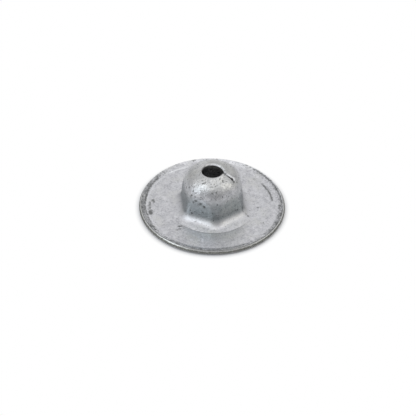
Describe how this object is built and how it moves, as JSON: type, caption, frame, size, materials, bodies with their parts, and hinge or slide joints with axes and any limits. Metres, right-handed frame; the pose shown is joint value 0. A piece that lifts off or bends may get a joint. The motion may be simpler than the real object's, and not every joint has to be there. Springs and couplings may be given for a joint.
{
  "type": "heat shield retainer nut",
  "caption": "Pressed sheet-steel retaining nut: hexagonal cap on a wide round flange, with a split helical lip that threads onto a weld stud and clamps a thin shield.",
  "frame": {"origin": "centre of the flange's seat, on the plane that it stands on", "axes": "+Z along the nut's axis, from the seat out through the crown; +X along the slit in the crown"},
  "size_m": [0.024, 0.024, 0.0084],
  "materials": {
    "zinc_plated_steel": "dull zinc plate, mottled and speckled, scuffed along the rim, with a bare cut edge"
  },
  "bodies": {
    "root": {"pressed_nut": "zinc_plated_steel"}
  },
  "joints": []
}
